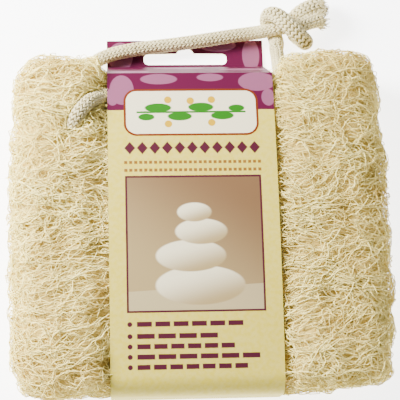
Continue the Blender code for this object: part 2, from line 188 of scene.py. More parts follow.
KNOT_WRAP = [
    (33.4, 67.3, 6.4), (34.0, 71.0, 3.6), (33.0, 75.0, 2.8), (30.8, 78.4, 4.6), (31.0, 79.9, 8.6),
    (33.6, 78.2, 12.0), (37.2, 74.4, 13.0), (41.0, 71.0, 11.6), (43.8, 69.6, 8.2), (43.6, 71.8, 4.2),
    (41.0, 75.2, 2.8), (40.6, 79.2, 3.6), (43.4, 81.9, 5.4), (47.2, 83.6, 6.4), (51.0, 84.8, 6.4),
]
KNOT_CORE = [
    (26.6, 74.8, 4.5), (31.0, 75.0, 6.4), (34.6, 75.2, 8.0), (38.6, 75.6, 8.0), (42.6, 76.4, 7.6),
    (46.2, 78.2, 6.6), (50.6, 80.0, 5.8),
]

# Base colours, linear
FIBRE_PALE = (0.97, 0.84, 0.30, 1.0)
FIBRE_TAN = (0.72, 0.53, 0.14, 1.0)
PITH = (0.50, 0.36, 0.10, 1.0)
PURPLE = (0.075, 0.003, 0.026, 1.0)
LILAC = (0.22, 0.070, 0.130, 1.0)
CREAM = (0.57, 0.46, 0.045, 1.0)
MAROON = (0.055, 0.006, 0.016, 1.0)
RUST = (0.13, 0.020, 0.002, 1.0)
PAPER_WHITE = (0.76, 0.68, 0.46, 1.0)
LEAF = (0.015, 0.13, 0.004, 1.0)
YELLOW = (0.50, 0.29, 0.0, 1.0)
BEIGE = (0.32, 0.23, 0.10, 1.0)
BEIGE_DEEP = (0.15, 0.08, 0.035, 1.0)
STONE = (0.50, 0.42, 0.23, 1.0)
COTTON = (0.70, 0.62, 0.35, 1.0)
COTTON_SHADE = (0.28, 0.21, 0.09, 1.0)
FLOOR_PALE = (0.95, 0.95, 0.95, 1.0)
WHITE = (1.0, 1.0, 1.0, 1.0)


# Node trees


class Value:
    """A socket of a node tree: arithmetic on it adds Math nodes, or Vector Math nodes for vectors."""

    def __init__(self, tree, socket):
        self.tree = tree
        self.socket = socket

    def out(self, key):
        """Another output of the same node."""
        return Value(self.tree, self.socket.node.outputs[key])

    def is_vector(self):
        return self.socket.type in ("VECTOR", "RGBA")

    def math(self, operation, *others):
        sockets = dict(enumerate((self, *others)))
        return self.tree.node("ShaderNodeMath", {"operation": operation}, sockets)

    def vector(self, operation, *others, output=0):
        sockets = dict(enumerate((self, *others)))
        return self.tree.node("ShaderNodeVectorMath", {"operation": operation}, sockets, output)

    def both(self, operation, other):
        return self.vector(operation, other) if self.is_vector() else self.math(operation, other)

    def __add__(self, other):
        return self.both("ADD", other)

    def __sub__(self, other):
        return self.both("SUBTRACT", other)

    def __mul__(self, other):
        by_vector = isinstance(other, tuple) or (isinstance(other, Value) and other.is_vector())
        if self.is_vector() and not by_vector:
            return self.tree.node("ShaderNodeVectorMath", {"operation": "SCALE"}, {0: self, 3: other})
        return self.both("MULTIPLY", other)

    def __truediv__(self, other):
        return self.both("DIVIDE", other)

    def __radd__(self, other):
        return self + other

    def __rmul__(self, other):
        return self * other

    def __rsub__(self, other):
        return self.tree.node("ShaderNodeMath", {"operation": "SUBTRACT"}, {0: other, 1: self})

    def __rtruediv__(self, other):
        return self.tree.node("ShaderNodeMath", {"operation": "DIVIDE"}, {0: other, 1: self})

    def __pow__(self, other):
        return self.math("POWER", other)

    def __abs__(self):
        return self.math("ABSOLUTE")

    def least(self, other):
        return self.math("MINIMUM", other)

    def most(self, other):
        return self.math("MAXIMUM", other)

    def ramp(self, low, high, start=0.0, end=1.0):
        """From start to end as the value goes from low to high, smoothly."""
        return self.tree.node("ShaderNodeMapRange", {"interpolation_type": "SMOOTHSTEP"},
                              {0: self, 1: low, 2: high, 3: start, 4: end})

    def split(self):
        """The vector's x, y and z."""
        x = self.tree.node("ShaderNodeSeparateXYZ", {}, {0: self})
        return x, x.out("Y"), x.out("Z")


class Tree:
    """Adds nodes to a node tree."""

    def __init__(self, node_tree):
        self.node_tree = node_tree

    def node(self, kind, settings=None, sockets=None, output=0):
        """A new node's output, after its settings and then its sockets' values or links."""
        made = self.node_tree.nodes.new(kind)
        for name, value in (settings or {}).items():
            setattr(made, name, value)
        for key, value in (sockets or {}).items():
            if isinstance(value, Value):
                self.node_tree.links.new(value.socket, made.inputs[key])
            else:
                made.inputs[key].default_value = value
        return Value(self, made.outputs[output])

    def blend(self, share, under, over):
        """Colour under where share is 0, and over where it is 1."""
        return self.node("ShaderNodeMix", {"data_type": "RGBA"}, {0: share, 6: under, 7: over}, 2)

    def vector(self, x, y, z):
        return self.node("ShaderNodeCombineXYZ", {}, {0: x, 1: y, 2: z})

    def noise(self, place, scale, detail=2.0, output="Fac", own=None):
        """Smooth noise by place, with a pattern of its own for each value of own if that is given."""
        settings, sockets = {}, {"Vector": place, "Scale": scale, "Detail": detail}
        if own is not None:
            settings, sockets = {"noise_dimensions": "4D"}, {**sockets, "W": own}
        return self.node("ShaderNodeTexNoise", settings, sockets, output)


class Finish(Tree):
    """A material's tree, with its main shader."""

    def __init__(self, name, roughness, **constants):
        self.material = bpy.data.materials.new(name)
        self.material.use_nodes = True
        super().__init__(self.material.node_tree)
        self.shader = self.node_tree.nodes["Principled BSDF"]
        for label, value in {"Roughness": roughness, **constants}.items():
            self.shader.inputs[label.replace("_", " ")].default_value = value
        self.place = self.node("ShaderNodeTexCoord", {}, {}, "Object")

    def drive(self, **links):
        for label, value in links.items():
            self.node_tree.links.new(value.socket, self.shader.inputs[label.replace("_", " ")])

    def bump(self, height, distance, strength=1.0):
        sockets = {"Height": height, "Distance": distance, "Strength": strength}
        self.drive(Normal=self.node("ShaderNodeBump", {}, sockets))


class Growth(Tree):
    """A Geometry Nodes tree with named inputs, which ends in Realize Instances and Set Material."""

    KINDS = ((int, "NodeSocketInt"), (float, "NodeSocketFloat"), (bpy.types.Object, "NodeSocketObject"),
             (bpy.types.Material, "NodeSocketMaterial"))

    def __init__(self, name, defaults):
        group = bpy.data.node_groups.new(name, "GeometryNodeTree")
        super().__init__(group)
        group.interface.new_socket("Geometry", in_out="INPUT", socket_type="NodeSocketGeometry")
        group.interface.new_socket("Geometry", in_out="OUTPUT", socket_type="NodeSocketGeometry")
        for label, value in defaults.items():
            kind = next(kind for known, kind in self.KINDS if isinstance(value, known))
            group.interface.new_socket(label, in_out="INPUT", socket_type=kind)
        self.defaults = defaults
        self.start = Value(self, group.nodes.new("NodeGroupInput").outputs[0])

    def given(self, label):
        return self.start.out(label)

    def chance(self, low, high, seed):
        """A random number for each point."""
        return self.node("FunctionNodeRandomValue", {"data_type": "FLOAT"},
                         {2: low, 3: high, "Seed": seed}, 1)

    def wander(self, place, scale, detail, own=None):
        """A smooth random vector about zero."""
        return self.noise(place, scale, detail, "Color", own) - (0.5, 0.5, 0.5)

    def store(self, geometry, name, value):
        """The geometry with a number kept on its points under that name."""
        return self.node("GeometryNodeStoreNamedAttribute", {"data_type": "FLOAT", "domain": "POINT"},
                         {0: geometry, "Name": name, "Value": value})

    def stored(self, name, data_type="FLOAT"):
        return self.node("GeometryNodeInputNamedAttribute", {"data_type": data_type}, {"Name": name})

    def move(self, geometry, **places):
        """The geometry with its points at a Position, or shifted by an Offset."""
        return self.node("GeometryNodeSetPosition", {}, {0: geometry, **places})

    def aimed(self, ahead, axis=None, towards=None):
        """A rotation with its Z along ahead and, if given, another axis turned towards a second vector."""
        turned = self.node("FunctionNodeAlignRotationToVector", {"axis": "Z"}, {"Vector": ahead})
        if axis is None:
            return turned
        return self.node("FunctionNodeAlignRotationToVector", {"axis": axis, "pivot_axis": "Z"},
                         {"Rotation": turned, "Vector": towards})

    def around(self, sampled, angle):
        """Along a sampled point of a curve, and the way out of it at that angle."""
        along, out = sampled.out("Tangent"), sampled.out("Normal")
        across = along.vector("CROSS_PRODUCT", out)
        return along, out * angle.math("COSINE") + across * angle.math("SINE")

    def line(self, start, end, count):
        """A straight line of that many points."""
        line = self.node("GeometryNodeCurvePrimitiveLine", {}, {"Start": start, "End": end})
        return self.node("GeometryNodeResampleCurve", {}, {0: line, "Count": count})

    def place(self, points, instance, rotation, x, y, z):
        """That instance on each point, with its scale in x, y and z."""
        return self.node("GeometryNodeInstanceOnPoints", {},
                         {"Points": points, "Instance": instance, "Rotation": rotation,
                          "Scale": self.vector(x, y, z)})

    def tube(self, path, sides, radius, scale=1.0):
        """A tube with closed ends round each curve, as wide as the radius times the scale."""
        ring = self.node("GeometryNodeCurvePrimitiveCircle", {}, {"Resolution": sides, "Radius": radius})
        return self.node("GeometryNodeCurveToMesh", {}, {0: path, 1: ring, "Scale": scale, "Fill Caps": True})

    def end(self, geometry):
        real = self.node("GeometryNodeRealizeInstances", {}, {0: geometry})
        rounded = self.node("GeometryNodeSetShadeSmooth", {}, {0: real})
        done = self.node("GeometryNodeSetMaterial", {}, {0: rounded, "Material": self.given("Material")})
        leave = self.node_tree.nodes.new("NodeGroupOutput")
        self.node_tree.links.new(done.socket, leave.inputs[0])

    def grow(self, name, base, values=None):
        """The tree's result on that mesh, as a plain mesh object."""
        source = add_object(name + "_base", base)
        modifier = source.modifiers.new(name, "NODES")
        modifier.node_group = self.node_tree
        settings = {**self.defaults, **(values or {})}
        for item in self.node_tree.interface.items_tree:
            if item.in_out == "INPUT" and item.name in settings:
                modifier[item.identifier] = settings[item.name]
        mesh = evaluated_mesh(source)
        bpy.data.objects.remove(source)
        return add_object(name, mesh)


# Objects


def add_object(name, mesh, *finishes):
    made = bpy.data.objects.new(name, mesh)
    mesh.name = name
    bpy.context.scene.collection.objects.link(made)
    for item in finishes:
        mesh.materials.append(item)
    return made


def evaluated_mesh(source):
    graph = bpy.context.evaluated_depsgraph_get()
    return bpy.data.meshes.new_from_object(source.evaluated_get(graph))


def belongs(piece, slot, *nodes):
    """Puts a finished piece on the frame, in place of those CAD nodes."""
    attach(piece, "root")
    if nodes:
        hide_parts(*nodes)
    return piece


def smooth(low, high, value):
    """0 below low and 1 above high, with a smooth rise between."""
    t = min(1.0, max(0.0, (value - low) / (high - low)))
    return t * t * (3.0 - 2.0 * t)


# Cord


def smooth_route(points, step):
    """Points read every step from a smooth curve through the route's own points."""
    ends = [points[0] * 2 - points[1]] + points + [points[-1] * 2 - points[-2]]
    fine = []
    for a, b, c, d in zip(ends, ends[1:], ends[2:], ends[3:]):
        for i in range(SPAN_STEPS):
            t = i / SPAN_STEPS
            fine.append(0.5 * (2 * b + (c - a) * t + (2 * a - 5 * b + 4 * c - d) * t * t
                               + (3 * b - a - 3 * c + d) * t * t * t))
    fine.append(points[-1])
    count = max(2, round(route_length(fine) / step))
    wanted = route_length(fine) / count
    spaced, walked = [fine[0]], 0.0
    for p, q in zip(fine, fine[1:]):
        gap = (q - p).length
        while walked + gap >= wanted * len(spaced) and len(spaced) < count:
            spaced.append(p.lerp(q, (wanted * len(spaced) - walked) / gap))
        walked += gap
    return spaced + [fine[-1]]


def route_length(points):
    return sum((q - p).length for p, q in zip(points, points[1:]))


def line_mesh(name, *routes):
    """Those routes as bare edges, for a growth tree to follow."""
    verts, edges = [], []
    for route in routes:
        first = len(verts)
        verts += route
        edges += [(first + i, first + i + 1) for i in range(len(route) - 1)]
    mesh = bpy.data.meshes.new(name)
    mesh.from_pydata(verts, edges, [])
    return mesh


def strands():
    """Each strand from the hole to the knot, and the rest of it through the knot."""
    halves = []
    for route, knot in ((FRONT_ROUTE, KNOT_WRAP), (BACK_ROUTE, KNOT_CORE)):
        seam = Vector(knot[0]) * MM
        full = smooth_route([Vector(p) * MM for p in route + knot], ROUTE_STEP)
        split = min(range(len(full)), key=lambda i: (full[i] - seam).length)
        halves.append((full[:split + 1], full[split:]))
    return halves


def lifted(route):
    """The knot's round turn, raised by what its swelling adds, so that it still lies on the floor."""
    last = len(route) - 1
    raised = []
    for i, point in enumerate(route):
        share = i / last
        raised.append(point + Vector((0, 0, WRAP_SWELL * CORD_DIAMETER * math.sqrt(share * (1 - share)))))
    return raised


def girth(tree, share):
    """How wide the cord is along its length, next to its usual width."""
    swell = tree.given("Swell") * (share * (1.0 - share) * 4).math("SQRT")
    return 1.0 + swell + tree.given("Flare") * share ** 4


def whole(value):
    """The whole part of a quotient that may fall a hair under its true value."""
    return (value + 0.001).math("FLOOR")


def knit_tree(material):
    """A knitted tube round a route: columns of small V stitches over a plain inner tube."""
    tree = Growth("knitted_cord", {
        "Radius": 0.5 * CORD_DIAMETER, "Course": COURSE, "Wales": WALES, "Lean": 0.48, "Swell": 0.0,
        "Flare": 0.0, "Material": material,
    })
    path = tree.node("GeometryNodeMeshToCurve", {}, {0: tree.start})
    course, wales = tree.given("Course"), tree.given("Wales")
    length = tree.node("GeometryNodeCurveLength", {}, {0: path})
    rows = (length / course).math("FLOOR")

    # Each point is one leg of a V: its row, its column, and its side of the V
    per_row = wales * 2
    points = tree.node("GeometryNodePoints", {}, {"Count": rows * per_row})
    index = tree.node("GeometryNodeInputIndex")
    row = whole(index / per_row)
    in_row = index - row * per_row
    wale = whole(in_row / 2)
    side = (in_row - wale * 2) * 2 - 1

    here = tree.node("GeometryNodeSampleCurve", {"mode": "LENGTH"},
                     {"Curves": path, "Length": (row + 0.5) * (length / rows)}, "Position")
    along, radial = tree.around(here, (wale + side * LEG_ASIDE) / wales * math.tau)
    lean = tree.given("Lean") * side
    leg = along * lean.math("COSINE") + along.vector("CROSS_PRODUCT", radial) * lean.math("SINE")
    radius = tree.given("Radius") * girth(tree, (row + 0.5) / rows)
    thick = radius * (math.pi * STITCH_FILL) / wales
    ready = tree.move(points, Position=here + radial * (radius - thick * STITCH_SUNK))
    bead = tree.node("GeometryNodeMeshUVSphere", {}, {"Segments": 6, "Rings": 5, "Radius": 1.0})
    stitches = tree.place(ready, bead, tree.aimed(leg, "Y", radial), thick * 0.95, thick, course * 0.8)

    inner_radius = tree.given("Radius") * (1.0 - math.pi * STITCH_FILL / WALES)
    coarse = tree.node("GeometryNodeResampleCurve", {}, {0: path, "Count": rows + 1})
    inner = tree.tube(coarse, 12, inner_radius, girth(tree, tree.node("GeometryNodeSplineParameter")))
    # Join Geometry's one socket takes both links
    # The inner tube is marked inside, so that the cotton finish paints shade on it.
    joined = tree.node("GeometryNodeJoinGeometry", {}, {0: tree.store(inner, "inside", 1.0)})
    tree.node_tree.links.new(stitches.socket, joined.socket.node.inputs[0])
    tree.end(joined)
    return tree


def fray_tree(material):
    """A tuft of loose yarns at a route's end, fanning out along its last stretch."""
    tree = Growth("frayed_end", {
        "Yarns": 240, "Length": 3.2 * MM, "Spread": 0.5, "Disc": 3.4 * MM, "Sunk": 1.6 * MM,
        "Thickness": 0.12 * MM, "Curl": 1.4 * MM, "Seed": 3, "Material": material,
    })
    seed = tree.given("Seed")
    path = tree.node("GeometryNodeMeshToCurve", {}, {0: tree.start})
    last = tree.node("GeometryNodeSampleCurve", {"mode": "FACTOR"},
                     {"Curves": path, "Factor": 0.9999}, "Position")
    points = tree.node("GeometryNodePoints", {}, {"Count": tree.given("Yarns")})
    along, radial = tree.around(last, tree.chance(0.0, math.tau, seed))
    far = tree.chance(0.0, 1.0, seed + 1).math("SQRT")
    start = last + radial * (far * tree.given("Disc")) + along * (tree.given("Sunk") * -1.0)
    ready = tree.move(points, Position=start)
    turned = tree.aimed(along + radial * (far * tree.given("Spread")))
    size = tree.given("Length") * tree.chance(0.55, 1.1, seed + 2)
    yarns = tree.place(ready, tree.line((0.0, 0.0, 0.0), (0.0, 0.0, 1.0), 7), turned, size, size, size)
    real = tree.node("GeometryNodeRealizeInstances", {}, {0: yarns})
    spot = tree.node("GeometryNodeInputPosition")
    share = tree.node("GeometryNodeSplineParameter")
    bent = tree.move(real, Offset=tree.wander(spot, 420.0, 1.0) * (tree.given("Curl") * share * 2))
    tree.end(tree.tube(bent, 4, tree.given("Thickness")))
    return tree


def cotton_finish():
    """Undyed cotton, mottled, with painted shade on the inner tube that shows in the gaps between the
    stitches.
    """
    cotton = Finish("cotton_yarn", 0.92, Specular_IOR_Level=0.15)
    mottle = cotton.noise(cotton.place, 260.0, 3.0)
    fibres = cotton.noise(cotton.place * (1.0, 1.6, 1.0), 2600.0, 2.0)
    inside = cotton.node("ShaderNodeAttribute", {"attribute_name": "inside"}, {}, "Fac")
    # inside carries the painted shade: the inner tube takes COTTON_SHADE outright, while the mottle and
    # fibres are the yarn's own tone.
    tone = (mottle.ramp(0.3, 0.75) * 0.3 + fibres.ramp(0.35, 0.75) * 0.3 + inside).least(1.0)
    cotton.drive(Base_Color=cotton.blend(tone, COTTON, COTTON_SHADE))
    cotton.bump(fibres, 0.15 * MM, 0.6)
    return cotton.material


def build_cord():
    cotton = cotton_finish()
    (front, wrap), (back, core) = strands()
    knit, fray = knit_tree(cotton), fray_tree(cotton)
    turn = knit.grow("cord_knot_wrap", line_mesh("wrap_line", lifted(wrap)),
                     {"Swell": WRAP_SWELL, "Flare": TAIL_FLARE})
    belongs(turn, "cotton_cord", "cord_knot")
    held = knit.grow("cord_knot_core", line_mesh("core_line", core), {"Flare": TAIL_FLARE})
    tails = [fray.grow("tail_fray_high", line_mesh("high_tail", wrap), {"Seed": 3}),
             fray.grow("tail_fray_low", line_mesh("low_tail", core), {"Seed": 17})]
    for piece in [held] + tails:
        belongs(piece, "cotton_cord")
    for side, route in (("front", front), ("back", back)):
        piece = knit.grow(f"cord_{side}_knit", line_mesh(f"{side}_line", route))
        belongs(piece, "cotton_cord", f"cord_{side}")
        route_length(route)
        route[::4] + [route[-1]]


# Pad


def front_z(y):
    """Outer height of the sleeve's bowed front panel."""
    return FRONT_PEAK_Z - FRONT_BOW * (y / TOP_FOLD_Y) ** 2


def flap_y(z):
    """Outer face of the top flap, which slopes from the front fold out to the hang tab."""
    share = (front_z(TOP_FOLD_Y) - z) / (front_z(TOP_FOLD_Y) - CARD)
    return TOP_FOLD_Y + (JOINT_Y - TOP_FOLD_Y) * share


def inside_fold(y, z):
    """Keeps a point of the pad inside the rounded bottom fold."""
    over_y = y - (BOTTOM_Y + BOTTOM_ROUND)
    top = front_z(BOTTOM_Y + BOTTOM_ROUND) - BOTTOM_ROUND
    over_z = min(0.0, z - BOTTOM_ROUND) + max(0.0, z - top)
    far = math.hypot(over_y, over_z)
    allowed = BOTTOM_ROUND - CARD - ROOM_IN_CARD
    if over_y < 0.0 and far > allowed:
        y += over_y * (allowed / far - 1.0)
        z += over_z * (allowed / far - 1.0)
    return y, z


def section(u):
    """The stadium round the pad: the middle line's x, and the way out of it in x and z."""
    u %= ROUND_LENGTH
    if u < 2 * SECTION_STRAIGHT:
        return SECTION_STRAIGHT - u, 0.0, 1.0
    u -= 2 * SECTION_STRAIGHT
    if u < SECTION_ARC:
        turn = u / PAD_HALF_THICKNESS
        return -SECTION_STRAIGHT, -math.sin(turn), math.cos(turn)
    u -= SECTION_ARC
    if u < 2 * SECTION_STRAIGHT:
        return u - SECTION_STRAIGHT, 0.0, -1.0
    turn = (u - 2 * SECTION_STRAIGHT) / PAD_HALF_THICKNESS
    return SECTION_STRAIGHT, math.sin(turn), -math.cos(turn)


def run(s):
    """Along the pad and over its cut ends: distance from the middle line, and y."""
    far = abs(s)
    if far < SIDE_HALF:
        return PAD_HALF_THICKNESS, s
    if far < SIDE_HALF + END_ARC:
        turn = (far - SIDE_HALF) / PAD_END_ROUND
        out = PAD_HALF_THICKNESS - PAD_END_ROUND + PAD_END_ROUND * math.cos(turn)
        return out, math.copysign(SIDE_HALF + PAD_END_ROUND * math.sin(turn), s)
    inward = far - SIDE_HALF - END_ARC
    return PAD_HALF_THICKNESS - PAD_END_ROUND - inward, math.copysign(PAD_HALF_LENGTH, s)


def shaped(x, y, z):
    """The pressed and handled pad: barrel sides, uneven ends, squeezed flat inside the sleeve."""
    x *= 1.0 - BARREL * abs(y / PAD_HALF_LENGTH) ** 3
    x += PAD_CENTRE_X
    edge = SLEEVE_HALF_WIDTH + SLEEVE_ROOM
    wing = smooth(edge, edge + WING_RAMP, abs(x))
    z *= PAD_SQUEEZE + (1.0 - PAD_SQUEEZE) * wing
    z += PAD_MIDDLE_Z - (1.0 - wing) * WING_SWELL
    # The wings' upper face swells and dips, and the cut ends wave, both by a few long waves
    swell = WING_SWELL * math.sin(75 * x + 1.0) * math.cos(68 * y + 0.4)
    z += swell * wing * smooth(8 * MM, 20 * MM, z)
    wave = math.sin(46 * x - 0.9) + 0.45 * math.sin(140 * x)
    y += END_WAVE * wave * smooth(0.7, 1.0, abs(y) / PAD_HALF_LENGTH) * wing
    if abs(x) < edge + 2 * MM:
        y = min(y, flap_y(z) - CARD - 2 * ROOM_IN_CARD)
        z = min(z, front_z(y) - CARD - ROOM_IN_CARD)
        y, z = inside_fold(y, z)
    return Vector((x, y, z))


def skin_mesh(cords):
    """The pith under the fibres: the pad's surface, lumpy and a little sunk, clear of the cord."""
    around = 2 * round(ROUND_LENGTH / SKIN_STEP / 2)
    rows = 2 * round(HALF_RUN / SKIN_STEP)
    made = bmesh.new()
    grid = []
    for row in range(rows + 1):
        middle_out, y = run(HALF_RUN * (2 * row / rows - 1))
        ring = []
        for i in range(around):
            middle, out_x, out_z = section(ROUND_LENGTH * (i + 0.5) / around)
            ring.append(made.verts.new(shaped(middle + middle_out * out_x, y, middle_out * out_z)))
        grid.append(ring)
    for low, high in zip(grid, grid[1:]):
        for i in range(around):
            j = (i + 1) % around
            made.faces.new((low[i], low[j], high[j], high[i]))
    # Each cut end closes along its middle slit, from the middle of one side fold
    first = round((2 * SECTION_STRAIGHT + SECTION_ARC / 2) / ROUND_LENGTH * around - 0.5)
    for ring in (grid[0], grid[-1]):
        ring = ring[first:] + ring[:first]
        for i in range(around // 2 - 1):
            made.faces.new((ring[i], ring[i + 1], ring[-2 - i], ring[-1 - i]))
    bmesh.ops.recalc_face_normals(made, faces=made.faces)
    made.normal_update()
    for vert, normal in [(v, v.normal.copy()) for v in made.verts]:
        lump = noise.noise(vert.co / LUMP_PITCH) + 0.5 * noise.noise(vert.co / LUMP_PITCH * FINE_LUMPS)
        bare = smooth(SLEEVE_HALF_WIDTH, SLEEVE_HALF_WIDTH + 5 * MM, abs(vert.co.x))
        lump *= LUMP_UNDER_CARD + (1.0 - LUMP_UNDER_CARD) * bare
        lump *= 1.0 + EDGE_LUMP * (1.0 - abs(normal.z))
        vert.co += normal * (LUMP * lump - CORE_DEPTH)
        push_clear(vert, normal, cords)
    made.normal_update()
    mesh = bpy.data.meshes.new("pad_skin")
    made.to_mesh(mesh)
    made.free()
    out = mesh.attributes.new("out", "FLOAT_VECTOR", "POINT")
    for i, vert in enumerate(mesh.vertices):
        out.data[i].vector = vert.normal
    mesh.shade_smooth()
    return mesh


def push_clear(vert, normal, cords):
    """Presses a vertex down under the cord that lies in the pad's surface."""
    near = min(cords, key=lambda p: (p - vert.co).length_squared)
    away = vert.co - near
    over = away.dot(normal)
    if (away - normal * over).length < CORD_CLEAR and -CORD_CLEAR < over < 2 * CORD_CLEAR:
        vert.co -= normal * (over + CORD_CLEAR)


def fibre_tree(material, cord_line):
    """Wavy fibres laid over the pad's skin, mostly round it, clear of the cord and flat under the card."""
    tree = Growth("loofah_fibres", {
        "Density": 80000.0, "Length": 30 * MM, "Points": 15, "Fan": 0.35, "Stream": 0.9, "Swirl": 5 * MM,
        "Swirl scale": 90.0, "Low": 0.2 * MM, "High": 2.2 * MM, "Arch": 0.4 * MM, "Dive": 1.6 * MM,
        "Weave": 0.7 * MM, "Curl": 1.4 * MM, "Curl scale": 290.0, "Thickness": 0.125 * MM,
        "Side": 1.0, "Edge only": 0.0, "Seed": 1, "Cord": cord_line, "Material": material,
    })
    skin, seed = tree.start, tree.given("Seed")
    spot = tree.node("GeometryNodeInputPosition")
    x, _, _ = spot.split()
    _, _, up = tree.node("GeometryNodeInputNormal").split()

    # Where they lie: on one side of the sleeve, in patches, and on the pad's edges alone if asked
    beside_card = abs(x).math("GREATER_THAN", SLEEVE_HALF_WIDTH - UNDER_CARD)
    this_side = (x * tree.given("Side")).math("GREATER_THAN", 0.0)
    turned_away = (1.0 - abs(up)).math("GREATER_THAN", tree.given("Edge only"))
    patches = tree.noise(spot, 150.0, 1.0).ramp(0.40, 0.52, 0.12, 1.0)
    points = tree.node("GeometryNodeDistributePointsOnFaces", {"distribute_method": "RANDOM"},
                       {"Mesh": skin, "Selection": beside_card * this_side * turned_away,
                        "Density": tree.given("Density") * patches, "Seed": seed})
    face_out = points.out("Normal")
    points = tree.store(points, "strand", tree.chance(0.0, 1.0, seed + 1))

    # Which way they run: round the pad beside the card, and in wilder streams further out
    turned = tree.aimed(face_out, "X", face_out.vector("CROSS_PRODUCT", WIND_AXIS))
    wild = abs(x).ramp(SLEEVE_HALF_WIDTH + 6 * MM, SLEEVE_HALF_WIDTH + 18 * MM, 0.5, 1.0)
    stream = (tree.noise(spot, 42.0, 1.0) - 0.5) * (tree.given("Stream") * 4)
    fan = (tree.chance(-1.0, 1.0, seed + 2) * tree.given("Fan") + stream) * wild
    swing = tree.node("FunctionNodeAxisAngleToRotation", {}, {"Axis": (0.0, 0.0, 1.0), "Angle": fan})
    turned = tree.node("FunctionNodeRotateRotation", {"rotation_space": "LOCAL"}, {0: turned, 1: swing})
    size = tree.given("Length") * tree.chance(0.6, 1.3, seed + 3)
    line = tree.line((-0.5, 0.0, 0.0), (0.5, 0.0, 0.0), tree.given("Points"))
    fibres = tree.place(points, line, turned, size, size, size)
    real = tree.node("GeometryNodeRealizeInstances", {}, {0: fibres})

    # How they wander: long swirls, and small curls on them
    strand = tree.stored("strand")
    swirl = tree.wander(spot, tree.given("Swirl scale"), 1.0, strand * 3) * (tree.given("Swirl") * 2)
    curl = tree.wander(spot, tree.given("Curl scale"), 0.0, strand * 31) * (tree.given("Curl") * 3)
    bent = tree.move(real, Offset=swirl + curl)

    # How high they lie: arched and woven over the skin, with their ends sunk, and low beside the card
    nearest = tree.node("GeometryNodeProximity", {"target_element": "FACES"}, {0: skin}, "Position")
    out = tree.node("GeometryNodeSampleNearestSurface", {"data_type": "FLOAT_VECTOR"},
                    {"Mesh": skin, "Value": tree.stored("out", "FLOAT_VECTOR"), "Sample Position": spot})
    end = abs(tree.node("GeometryNodeSplineParameter") * 2 - 1)
    ripple = tree.noise(spot, 260.0, 1.0, own=strand * 9)
    height = tree.given("Low") + strand * (tree.given("High") - tree.given("Low"))
    height = height + (1.0 - end * end) * tree.given("Arch") + (ripple - 0.5) * (tree.given("Weave") * 2)
    height = height - end ** 6 * tree.given("Dive")
    from_middle = abs(nearest.split()[0])
    room = from_middle.ramp(SLEEVE_HALF_WIDTH + 0.2 * MM, SLEEVE_HALF_WIDTH + 3 * MM, 2.0 * MM, 6 * MM)
    laid = tree.move(bent, Position=nearest + out * height.least(room))

    # Clear of the cord: aside from it, and down where they would cross over it
    cord = tree.node("GeometryNodeObjectInfo", {}, {"Object": tree.given("Cord")}, "Geometry")
    axis = tree.node("GeometryNodeProximity", {"target_element": "EDGES"}, {0: cord}, "Position")
    away = spot - axis
    over = away.vector("DOT_PRODUCT", out, output="Value")
    sideways = away - out * over
    wide = sideways.vector("LENGTH", output="Value")
    beyond_card = from_middle.ramp(SLEEVE_HALF_WIDTH, SLEEVE_HALF_WIDTH + 1.5 * MM)
    near = over.ramp(-4 * MM, -2.5 * MM) * axis.out("Distance").ramp(6 * MM, 4.5 * MM) * beyond_card
    aside = sideways.vector("NORMALIZE") * ((CORD_CLEAR - wide).most(0.0) * near)
    lower = out * (over.most(0.0) * near * wide.ramp(1.5 * CORD_CLEAR, CORD_CLEAR) * -1.0)
    laid = tree.move(laid, Offset=aside + lower)
    x, y, z = spot.split()
    laid = tree.move(laid, Position=tree.vector(x, y, z.most(LOWEST)))
    tree.end(tree.tube(laid, 3, 1.0, tree.given("Thickness") * (0.7 + strand * 0.6)))
    return tree


def fibre_finish():
    """Pale dry fibre, tanner in patches, with painted shade darkening the strands that lie low in the net."""
    fibre = Finish("loofah_fibre", 0.85, Specular_IOR_Level=0.12)
    strand = fibre.node("ShaderNodeAttribute", {"attribute_name": "strand"}, {}, "Fac")
    patch = fibre.noise(fibre.place, 65.0, 3.0)
    fleck = fibre.noise(fibre.place, 900.0, 2.0)
    # Painted shade: the lower a strand lies (the smaller its strand value), the more it turns to tan; the
    # patches and flecks are the fibre's own tone.
    tone = patch.ramp(0.42, 0.72) * 0.55 + (1.0 - strand) * 0.35 + fleck.ramp(0.5, 0.8) * 0.2
    fibre.drive(Base_Color=fibre.blend(tone.least(1.0), FIBRE_PALE, FIBRE_TAN))
    fibre.bump(fleck, 0.08 * MM, 0.5)
    return fibre.material


def pith_finish():
    """The shaded, tan inside of the net between the outer fibres."""
    pith = Finish("loofah_pith", 0.95, Specular_IOR_Level=0.1)
    threads = pith.noise(pith.place * (0.35, 1.0, 1.0), 900.0, 3.0)
    patch = pith.noise(pith.place, 120.0, 3.0)
    tone = threads.ramp(0.45, 0.68) * 0.6 + patch.ramp(0.4, 0.7) * 0.4
    pith.drive(Base_Color=pith.blend(tone, PITH, FIBRE_TAN))
    pith.bump(threads, 0.9 * MM, 1.0)
    return pith.material


